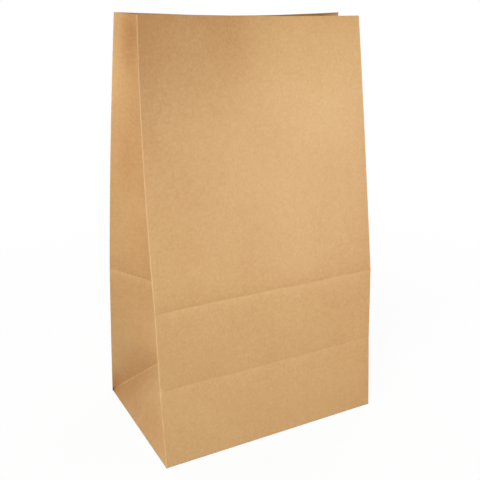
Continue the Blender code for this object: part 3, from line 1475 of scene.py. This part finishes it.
@dataclass(frozen=True)
class PaperEffects:
    """The effects that the paper's finishes share, each one a node group.

    Broad, cloud and mottle are the paper's uneven tones, from the widest to the finest. Upright and level
    are its threads each way, and bend is what bends them. Rubbed is where a worn line is broken up, and
    least speck the smallest speck's size as a factor.
    """

    cloud: Grain = Grain(150.0, 110.0, 3.0, 0.55)
    broad: Grain = Grain(26.0, 20.0, 1.0, 0.5)
    broad_share: float = 0.7
    clouds_middle: float = 0.85
    mottle: Grain = Grain(420.0, 360.0)
    upright: Grain = Grain(1900.0, 420.0)
    level: Grain = Grain(520.0, 1500.0)
    bend: Grain = Grain(190.0, 190.0, 2.0, 0.5)
    bend_reach: float = 0.004
    thread_height: float = 0.35
    cloud_height: float = 0.6
    rubbed: Grain = Grain(230.0, 230.0, 3.0)
    rubbed_from: float = 0.36
    rubbed_to: float = 0.62
    least_speck: float = 0.35

    def fibres(self) -> bpy.types.NodeTree:
        """Makes the cloudy, fibrous look of unbleached paper.

        Returns:
            A group that puts out a tone around 1 and a height from 0 to 1.
        """
        number = "NodeSocketFloat"
        wiring, given, made = start_group(
            "Paper Fibres",
            (
                ("Place", "NodeSocketVector", None),
                ("Cloud Strength", number, 0.05),
                ("Mottle Strength", number, 0.05),
                ("Fibre Strength", number, 0.05),
            ),
            (("Tone", number), ("Height", number)),
        )
        place = given.outputs["Place"]
        bend = wiring.node("ShaderNodeVectorMath", operation="SCALE")
        wiring.feed(bend.inputs[0], wiring.noise(place, self.bend).outputs["Color"])
        wiring.feed(bend.inputs["Scale"], self.bend_reach)
        bent = wiring.node("ShaderNodeVectorMath", operation="ADD")
        wiring.feed(bent.inputs[0], place)
        wiring.feed(bent.inputs[1], bend.outputs[0])
        cloud, broad, mottle = (
            wiring.noise(place, grain).outputs["Fac"] for grain in (self.cloud, self.broad, self.mottle)
        )
        upright, level = (
            wiring.noise(bent.outputs[0], grain).outputs["Fac"] for grain in (self.upright, self.level)
        )
        clouds = wiring.maths("ADD", cloud, wiring.maths("MULTIPLY", broad, self.broad_share))
        clouds = wiring.maths("SUBTRACT", clouds, self.clouds_middle)
        spots = wiring.maths("SUBTRACT", mottle, 0.5)
        threads = wiring.maths("SUBTRACT", wiring.maths("ADD", upright, level), 1.0)
        tone = wiring.maths("MULTIPLY", clouds, given.outputs["Cloud Strength"])
        tone = wiring.maths("MULTIPLY_ADD", spots, given.outputs["Mottle Strength"], tone)
        tone = wiring.maths("MULTIPLY_ADD", threads, given.outputs["Fibre Strength"], tone)
        wiring.feed(made.inputs["Tone"], wiring.maths("ADD", tone, 1.0))
        height = wiring.maths("MULTIPLY_ADD", threads, self.thread_height, 0.5)
        height = wiring.maths("MULTIPLY_ADD", clouds, self.cloud_height, height)
        wiring.feed(made.inputs["Height"], height)
        return wiring.tree

    def worn_line(self) -> bpy.types.NodeTree:
        """Makes the line that handling leaves along a fold, rubbed through in places.

        Returns:
            A group that puts out a mask.
        """
        number = "NodeSocketFloat"
        wiring, given, made = start_group(
            "Worn Line",
            (
                ("Gap", number, FAR),
                ("Reach", number, 0.001),
                ("Place", "NodeSocketVector", None),
                ("Break Up", number, 0.5),
            ),
            (("Mask", number),),
        )
        gap = wiring.maths("ABSOLUTE", given.outputs["Gap"])
        line = wiring.ramp(gap, 0.0, given.outputs["Reach"], 1.0, 0.0)
        patches = wiring.noise(given.outputs["Place"], self.rubbed).outputs["Fac"]
        patches = wiring.ramp(patches, self.rubbed_from, self.rubbed_to, 0.0, 1.0)
        kept = wiring.maths("SUBTRACT", 1.0, given.outputs["Break Up"])
        patches = wiring.maths("MULTIPLY_ADD", patches, given.outputs["Break Up"], kept)
        wiring.feed(made.inputs["Mask"], wiring.maths("MULTIPLY", line, patches))
        return wiring.tree

    def specks(self) -> bpy.types.NodeTree:
        """Makes scattered dark fibre specks.

        Returns:
            A group that puts out a mask.
        """
        number = "NodeSocketFloat"
        wiring, given, made = start_group(
            "Fibre Specks",
            (
                ("Place", "NodeSocketVector", None),
                ("Scale", number, 120.0),
                ("Share", number, 0.03),
                ("Size", number, 0.05),
            ),
            (("Mask", number),),
        )
        cells = wiring.node("ShaderNodeTexVoronoi", voronoi_dimensions="2D")
        wiring.feed(cells.inputs["Vector"], given.outputs["Place"])
        wiring.feed(cells.inputs["Scale"], given.outputs["Scale"])
        parts = wiring.node("ShaderNodeSeparateColor")
        wiring.feed(parts.inputs[0], cells.outputs["Color"])
        chosen = wiring.maths("LESS_THAN", parts.outputs[0], given.outputs["Share"])
        size = wiring.maths("ADD", parts.outputs[1], self.least_speck)
        size = wiring.maths("MULTIPLY", given.outputs["Size"], size)
        spot = wiring.maths("LESS_THAN", cells.outputs["Distance"], size)
        wiring.feed(made.inputs["Mask"], wiring.maths("MULTIPLY", chosen, spot))
        return wiring.tree


@dataclass(frozen=True)
class Mark:
    """A line or band of one tint that follows one of the sheet's distances, such as a worn line or a band of
    painted shade.

    Reach is how far from the fold or edge it goes, and break-up how much of it is rubbed through.
    """

    gap: str
    reach: float
    strength: float
    break_up: float
    tint: Colour


@dataclass(frozen=True)
class Specks:
    """Dark specks in the paper: how often, how many of them, how large and how strong."""

    scale: float
    share: float
    size: float
    strength: float


@dataclass(frozen=True)
class KraftFinish:
    """The colours and strengths of the kraft paper's finish.

    Warmth is how much the uneven tone moves the colour between pale and deep, and relief how far the
    highest fibres stand up.
    """

    paper: Colour = (0.684, 0.402, 0.164, 1.0)
    pale: Colour = (0.757, 0.484, 0.223, 1.0)
    deep: Colour = (0.520, 0.267, 0.093, 1.0)
    worn: Colour = (0.880, 0.560, 0.265, 1.0)
    # painted shade under the mouth on the inner face, and beside it on the right back gusset half
    painted_mouth_shade: Colour = (0.230, 0.115, 0.042, 1.0)
    # the painted shadow of a slit in the back base corners
    painted_slit_shadow: Colour = (0.030, 0.014, 0.006, 1.0)
    # painted shade along the base fold, partly grime
    base_grime_and_shade: Colour = (0.280, 0.240, 0.200, 1.0)
    # painted shade in the back gusset halves' base corners
    painted_corner_shade: Colour = (0.440, 0.185, 0.026, 1.0)
    speck: Colour = (0.200, 0.100, 0.040, 1.0)
    cut_edge: Colour = (0.700, 0.450, 0.230, 1.0)
    roughness: float = 0.45
    sheen: float = 0.25
    warmth: float = 2.0
    cloud: float = 0.155
    mottle: float = 0.27
    fibre: float = 0.12
    edge_clouds: float = 2.0
    edge_fibres: float = 3.0
    relief: float = 0.00003
    relief_strength: float = 0.6
    specks: tuple[Specks, ...] = (Specks(90.0, 0.05, 0.030, 0.50), Specks(260.0, 0.03, 0.060, 0.35))

    def marks(self, inner: bool) -> tuple[Mark, ...]:
        """Lists the worn lines and the bands of painted shade and shadow of one of the paper's two faces.

        Args:
            inner: Whether it is the inner face.

        Returns:
            The lines, in the order in which they are laid on.
        """
        # painted shade just under the mouth inside the bag, and just beside it at the right back half
        shade_under_mouth = Mark("mouth_gap", 0.0036, 0.45, 0.15, self.painted_mouth_shade)
        shade_beside_mouth = Mark("lip_gap", 0.0040, 0.60, 0.15, self.painted_mouth_shade)
        return (
            Mark("fold_gap", 0.0019, 0.74, 0.30, self.worn),
            Mark("diagonal_gap", 0.0016, 0.42, 0.45, self.worn),
            Mark("upper_gap", 0.0012, 0.16, 0.70, self.worn),
            Mark("lower_gap", 0.0009, 0.10, 0.80, self.worn),
            # painted shade along the base fold, partly grime
            Mark("base_gap", 0.0014, 0.38, 0.30, self.base_grime_and_shade),
            # painted shade in the back gusset halves' base corners
            Mark("corner_gap", 0.0260, 0.80, 0.0, self.painted_corner_shade),
            # the painted shadow of a slit along the diagonal from each back base corner
            Mark("pocket_gap", 0.0034, 0.92, 0.0, self.painted_slit_shadow),
            shade_under_mouth if inner else shade_beside_mouth,
        )

    def dress_sheet(
        self, name: str, effects: dict[str, bpy.types.NodeTree], inner: bool
    ) -> bpy.types.Material:
        """Makes the finish of one of the paper's two faces.

        Args:
            name: The material's name.
            effects: The shared node groups, by name.
            inner: Whether it is the inner face, which has painted shade just under the mouth.

        Returns:
            The material.
        """
        material, wiring, shader = self.start(name, self.paper)
        place = self.attribute(wiring, "paper_at", "Vector")
        strengths = {
            "Cloud Strength": self.cloud,
            "Mottle Strength": self.mottle,
            "Fibre Strength": self.fibre,
        }
        fibres = wiring.group(effects["fibres"], {"Place": place, **strengths})
        shade = wiring.maths("SUBTRACT", 1.0, fibres.outputs["Tone"])
        # the mesh's tone brings in the painted light and shade of the walls
        tone = wiring.maths("MULTIPLY_ADD", shade, self.warmth, self.attribute(wiring, "tone", "Fac"))
        colour = wiring.mix(tone, self.pale, self.deep)
        for mark in self.marks(inner):
            gap = self.attribute(wiring, mark.gap, "Fac")
            given = {"Place": place, "Gap": gap, "Reach": mark.reach, "Break Up": mark.break_up}
            line = wiring.group(effects["worn_line"], given)
            share = wiring.maths("MULTIPLY", line.outputs["Mask"], mark.strength)
            colour = wiring.mix(share, colour, mark.tint)
        for kind in self.specks:
            given = {"Place": place, "Scale": kind.scale, "Share": kind.share, "Size": kind.size}
            specks = wiring.group(effects["specks"], given)
            share = wiring.maths("MULTIPLY", specks.outputs["Mask"], kind.strength)
            colour = wiring.mix(share, colour, self.speck)
        wiring.feed(shader.inputs["Base Color"], colour)
        self.bump(wiring, shader, fibres.outputs["Height"])
        return material

    def dress_edge(self, effects: dict[str, bpy.types.NodeTree]) -> bpy.types.Material:
        """Makes the finish of the paper's cut edges.

        Args:
            effects: The shared node groups, by name.

        Returns:
            The material.
        """
        material, wiring, shader = self.start("kraft_cut_edge", self.cut_edge)
        place = self.attribute(wiring, "paper_at", "Vector")
        strengths = {
            "Cloud Strength": self.edge_clouds * self.cloud,
            "Fibre Strength": self.edge_fibres * self.fibre,
        }
        fibres = wiring.group(effects["fibres"], {"Place": place, **strengths})
        colour = wiring.mix(1.0, self.cut_edge, fibres.outputs["Tone"], "MULTIPLY")
        wiring.feed(shader.inputs["Base Color"], colour)
        self.bump(wiring, shader, fibres.outputs["Height"])
        return material

    def start(self, name: str, colour: Colour) -> tuple[bpy.types.Material, Wiring, bpy.types.Node]:
        """Starts a paper material.

        Args:
            name: The material's name.
            colour: Its plain colour.

        Returns:
            The material, its wiring and its shader.
        """
        material = bpy.data.materials.new(name)
        material.use_nodes = True
        material.diffuse_color = colour
        wiring = Wiring(material.node_tree)
        shader = material.node_tree.nodes["Principled BSDF"]
        shader.inputs["Roughness"].default_value = self.roughness
        shader.inputs["Specular IOR Level"].default_value = self.sheen
        return material, wiring, shader

    def attribute(self, wiring: Wiring, name: str, output: str) -> bpy.types.NodeSocket:
        """Returns the socket of a value that the mesh keeps at each point."""
        return wiring.node("ShaderNodeAttribute", attribute_name=name).outputs[output]

    def bump(self, wiring: Wiring, shader: bpy.types.Node, height: bpy.types.NodeSocket) -> None:
        """Raises the fibres a little.

        Args:
            wiring: The material's wiring.
            shader: Its shader.
            height: The height's socket.
        """
        made = wiring.node("ShaderNodeBump")
        made.inputs["Strength"].default_value = self.relief_strength
        made.inputs["Distance"].default_value = self.relief
        wiring.feed(made.inputs["Height"], height)
        wiring.feed(shader.inputs["Normal"], made.outputs[0])


@dataclass(frozen=True)
class SoftBox:
    """A square lamp that points at the bag's middle.

    Bearing is its angle to the right of straight in front, rise its angle above level, both in degrees.
    """

    name: str
    bearing: float
    rise: float
    distance: float
    side: float
    power: float
    aim: tuple[float, float, float] = (0.0, 0.0, 0.19)

    def build(self) -> bpy.types.Object:
        """Makes the lamp and aims it.

        Returns:
            The lamp.
        """
        data = bpy.data.lights.new(self.name, "AREA")
        data.shape = "SQUARE"
        data.size = self.side
        data.energy = self.power
        made = bpy.data.objects.new(self.name, data)
        way = direction(180.0 - self.bearing, self.rise)
        made.location = Vector(self.aim) + way * self.distance
        made.rotation_euler = (-way).to_track_quat("-Z", "Y").to_euler()
        bpy.context.scene.collection.objects.link(made)
        return made


@dataclass(frozen=True)
class Studio:
    """The white ground, the soft lamps and the even light all round.

    The ground's glow is the share of it that the camera sees as plain white. It rises from near the bag,
    where the shadow shows, to far from it. The ground throws less light back on the bag than it seems to.
    """

    lamps: tuple[SoftBox, ...] = (
        SoftBox("left_lamp", -60.0, 35.0, 1.4, 0.8, 12.2),
        SoftBox("front_lamp", -30.0, 20.0, 1.4, 0.8, 6.5),
        SoftBox("right_lamp", 35.0, 5.0, 0.6, 0.3, 1.29),
        SoftBox("right_rear_lamp", 125.0, 30.0, 1.4, 0.8, 9.0),
        SoftBox("left_rear_lamp", -160.0, 30.0, 1.4, 0.8, 8.0),
    )
    around: float = 0.03
    floor_side: float = 12.0
    floor_drop: float = 0.00005
    floor_colour: Colour = (0.86, 0.86, 0.86, 1.0)
    floor_bounce: Colour = (0.32, 0.32, 0.32, 1.0)
    floor_roughness: float = 0.95
    white: Colour = (1.0, 1.0, 1.0, 1.0)
    glow_near: float = 0.94
    glow_far: float = 1.0
    near: float = 0.20
    far: float = 0.80

    def build(self) -> None:
        """Makes the ground, the lamps and the world."""
        half = self.floor_side / 2
        mesh = bpy.data.meshes.new("ground")
        corners = [(-half, -half, 0.0), (half, -half, 0.0), (half, half, 0.0), (-half, half, 0.0)]
        mesh.from_pydata(corners, [], [(0, 1, 2, 3)])
        mesh.materials.append(self.ground_finish())
        ground = bpy.data.objects.new("ground", mesh)
        ground.location.z = -self.floor_drop
        bpy.context.scene.collection.objects.link(ground)
        for lamp in self.lamps:
            lamp.build()
        self.light_world()

    def ground_finish(self) -> bpy.types.Material:
        """Makes white paper ground that the camera sees as bright white, with a soft shadow.

        Returns:
            The material.
        """
        material = bpy.data.materials.new("white_ground")
        material.use_nodes = True
        wiring = Wiring(material.node_tree)
        shader = material.node_tree.nodes["Principled BSDF"]
        shader.inputs["Roughness"].default_value = self.floor_roughness
        shader.inputs["Specular IOR Level"].default_value = 0.0
        white = wiring.node("ShaderNodeEmission")
        seen = wiring.seen_directly()
        colour = wiring.mix(seen, self.floor_bounce, self.floor_colour)
        wiring.feed(shader.inputs["Base Color"], colour)
        mixed = wiring.node("ShaderNodeMixShader")
        place = wiring.node("ShaderNodeNewGeometry").outputs["Position"]
        away = wiring.node("ShaderNodeVectorMath", operation="LENGTH")
        wiring.feed(away.inputs[0], place)
        glow = wiring.ramp(away.outputs["Value"], self.near, self.far, self.glow_near, self.glow_far)
        wiring.feed(mixed.inputs[0], wiring.maths("MULTIPLY", seen, glow))
        wiring.feed(mixed.inputs[1], shader.outputs[0])
        wiring.feed(mixed.inputs[2], white.outputs[0])
        wiring.feed(material.node_tree.nodes["Material Output"].inputs["Surface"], mixed.outputs[0])
        return material

    def light_world(self) -> None:
        """Sets the even light all round, which the camera sees as white."""
        world = bpy.data.worlds.new("studio")
        world.use_nodes = True
        wiring = Wiring(world.node_tree)
        light = world.node_tree.nodes["Background"]
        light.inputs["Color"].default_value = self.white
        light.inputs["Strength"].default_value = self.around
        white = wiring.node("ShaderNodeBackground")
        white.inputs["Color"].default_value = self.white
        seen = wiring.seen_directly()
        mixed = wiring.node("ShaderNodeMixShader")
        wiring.feed(mixed.inputs[0], seen)
        wiring.feed(mixed.inputs[1], light.outputs[0])
        wiring.feed(mixed.inputs[2], white.outputs[0])
        wiring.feed(world.node_tree.nodes["World Output"].inputs["Surface"], mixed.outputs[0])
        bpy.context.scene.world = world


@dataclass(frozen=True)
class PhotoCamera:
    """The camera, where the photograph was taken from.

    Turn is how far it looks to the right of +Y, tip how far down, and roll how far it is turned about its
    own line of sight, all in degrees. The focal length and the sensor are in millimetres.
    """

    place: tuple[float, float, float] = (-0.2978, -0.5345, 0.3903)
    turn: float = 28.954
    tip: float = 20.001
    roll: float = 1.032
    focal: float = 52.93
    sensor: float = 36.0
    nearest: float = 0.01

    def build(self) -> bpy.types.Object:
        """Makes the camera and sets it as the scene's own.

        Returns:
            The camera.
        """
        roll = math.radians(self.roll)
        forward = direction(self.turn, -self.tip)
        level = direction(self.turn + 90.0, 0.0)
        above = level.cross(forward)
        right = level * math.cos(roll) + above * math.sin(roll)
        up = above * math.cos(roll) - level * math.sin(roll)
        data = bpy.data.cameras.new("photo_camera")
        data.sensor_width = self.sensor
        data.lens = self.focal
        data.clip_start = self.nearest
        made = bpy.data.objects.new("photo_camera", data)
        turned = Matrix((right, up, -forward)).transposed().to_4x4()
        made.matrix_world = Matrix.Translation(self.place) @ turned
        bpy.context.scene.collection.objects.link(made)
        bpy.context.scene.camera = made
        return made


def set_view() -> None:
    """Sets the plain view of colours."""
    bpy.context.scene.view_settings.view_transform = "Standard"


def write_sizes() -> None:
    """Brings the view layer up to date."""
    bpy.context.view_layer.update()


def main() -> None:
    """Builds the camera, the studio and the bag, and reports each."""
    logging.basicConfig(level=logging.INFO, format="%(name)s: %(message)s")
    camera = PhotoCamera().build()
    LOG.info("camera %s", camera.name)
    set_view()
    Studio().build()
    LOG.info("studio built")
    shared = PaperEffects()
    effects = {"fibres": shared.fibres(), "worn_line": shared.worn_line(), "specks": shared.specks()}
    finish = KraftFinish()
    materials = (
        finish.dress_sheet("kraft_paper", effects, False),
        finish.dress_sheet("kraft_inner_face", effects, True),
        finish.dress_edge(effects),
    )
    bag = Bag(FoldedSheet(), Relief())
    piece = bag.build(materials)
    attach(piece, "root")
    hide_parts("paper_bag")
    LOG.info("%s: %d faces", piece.name, len(piece.data.polygons))
    write_sizes()


if __name__ == "__main__":
    main()
